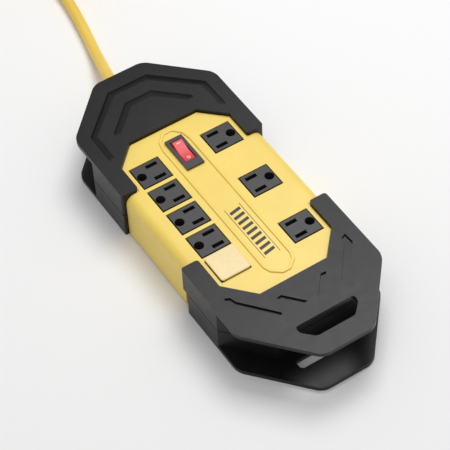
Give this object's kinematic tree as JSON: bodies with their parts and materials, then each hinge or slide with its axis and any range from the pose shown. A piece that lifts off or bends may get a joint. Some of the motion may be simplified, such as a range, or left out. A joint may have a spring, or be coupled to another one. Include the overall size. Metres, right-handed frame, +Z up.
{
  "type": "power strip",
  "caption": "Safety power strip with grounded outlets, a lighted rocker switch, black end bumpers with a hand hole, a lift-off outlet cover and a coiled heavy lead with plug.",
  "frame": {"origin": "centre of the strip's footprint, on the surface that it stands on", "axes": "+Y along the strip towards the lead, +X across it towards the short outlet column, +Z up"},
  "size_m": [0.199, 0.5645, 0.063],
  "materials": {
    "yellow_case": "moulded, fine grain",
    "black_bumper": "moulded, satin",
    "grey_outlet": "moulded, satin",
    "contact_brass": "stamped",
    "plug_metal": "polished",
    "tan_cover": "smooth",
    "switch_housing": "moulded",
    "red_rocker": "translucent, polished",
    "steel": "zinc plated",
    "lamp_glass": "clear",
    "black_wire": "insulation",
    "white_wire": "insulation",
    "green_wire": "insulation",
    "yellow_jacket": "extruded, satin",
    "tie_band": "woven hook and loop"
  },
  "bodies": {
    "housing": {"base_cover": "yellow_case", "bumper_screw_1": "steel", "bumper_screw_2": "steel", "bumper_screw_3": "steel", "bumper_screw_4": "steel", "case_screw_1": "steel", "case_screw_2": "steel", "case_screw_3": "steel", "case_screw_4": "steel", "case_screw_5": "steel", "case_screw_6": "steel", "coil_tie": "tie_band", "cord_coil": "yellow_jacket", "cord_end_bottom_bumper": "black_bumper", "cord_end_top_bumper": "black_bumper", "cord_tail": "yellow_jacket", "ground_lead": "green_wire", "ground_lead_cross": "green_wire", "ground_strip_left": "contact_brass", "ground_strip_right": "contact_brass", "handle_end_bottom_bumper": "black_bumper", "handle_end_top_bumper": "black_bumper", "indicator_lamp": "lamp_glass", "line_lead": "black_wire", "line_lead_left": "black_wire", "line_lead_right": "black_wire", "line_strip_left": "contact_brass", "line_strip_right": "contact_brass", "neutral_lead": "white_wire", "neutral_lead_cross": "white_wire", "neutral_strip_left": "contact_brass", "neutral_strip_right": "contact_brass", "outlet_left_1": "grey_outlet", "outlet_left_2": "grey_outlet", "outlet_left_3": "grey_outlet", "outlet_left_4": "grey_outlet", "outlet_left_5": "grey_outlet", "outlet_right_1": "grey_outlet", "outlet_right_2": "grey_outlet", "outlet_right_3": "grey_outlet", "plug_blade_line": "plug_metal", "plug_blade_neutral": "plug_metal", "plug_body": "yellow_jacket", "plug_ground_pin": "plug_metal", "power_cord": "yellow_jacket", "rocker_pin": "steel", "strain_relief": "yellow_jacket", "switch_housing": "switch_housing", "switch_terminal_1": "contact_brass", "switch_terminal_2": "contact_brass", "switch_terminal_3": "contact_brass", "upper_case": "yellow_case"},
    "rocker": {"rocker": "red_rocker"},
    "outlet_cover": {"outlet_cover": "tan_cover"}
  },
  "joints": [
    {"name": "rocker_tilt", "type": "hinge", "parent": "housing", "child": "rocker", "pos_m": [-0.0004, 0.0575, 0.037], "axis": [-1, 0, 0], "range_deg": [0, 16]},
    {"name": "cover_lift", "type": "slide", "parent": "housing", "child": "outlet_cover", "axis": [0, 0, 1], "range_m": [0, 0.03]}
  ]
}
